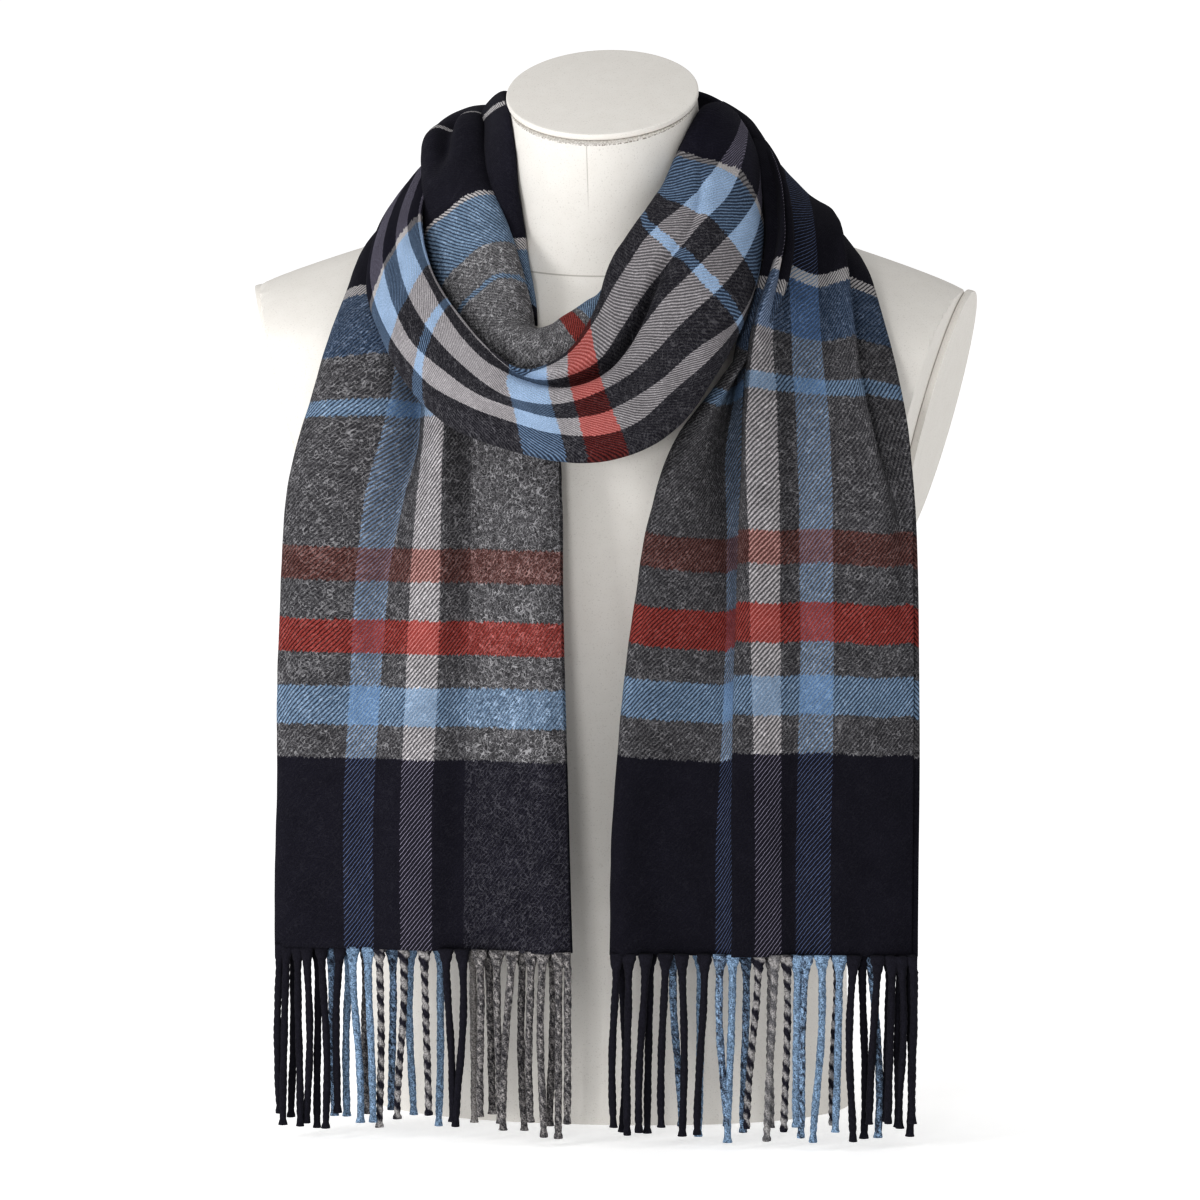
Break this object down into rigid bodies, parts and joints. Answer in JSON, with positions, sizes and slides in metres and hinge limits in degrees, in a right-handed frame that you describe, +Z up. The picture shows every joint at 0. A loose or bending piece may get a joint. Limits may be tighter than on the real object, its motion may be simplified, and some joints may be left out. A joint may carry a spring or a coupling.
{
  "type": "blanket scarf on a dress form",
  "caption": "Woven check blanket scarf folded lengthwise and wound round a limbless dress form, with fringed ends hanging at the front.",
  "frame": {"origin": "on the plane that the dress form stands on, under the middle of its shoulders", "axes": "+Z up, the front faces -Y, +X is to the viewer's right"},
  "size_m": [0.4834, 0.336, 0.7016],
  "materials": {
    "scarf_cloth": "brushed woven wool check",
    "fringe_yarn": "twisted wool yarn",
    "form_cover": "matte off-white"
  },
  "bodies": {
    "root": {"form_body": "form_cover", "form_neck_cap": "form_cover", "form_arm_plate_right": "form_cover", "form_arm_plate_left": "form_cover", "left_end": "scarf_cloth", "nape_inner": "scarf_cloth", "front_loop": "scarf_cloth", "nape_outer": "scarf_cloth", "right_end": "scarf_cloth", "front_roll": "scarf_cloth", "fringe_left_front": "fringe_yarn", "fringe_left_back": "fringe_yarn", "fringe_right_front": "fringe_yarn", "fringe_right_back": "fringe_yarn"}
  },
  "joints": []
}
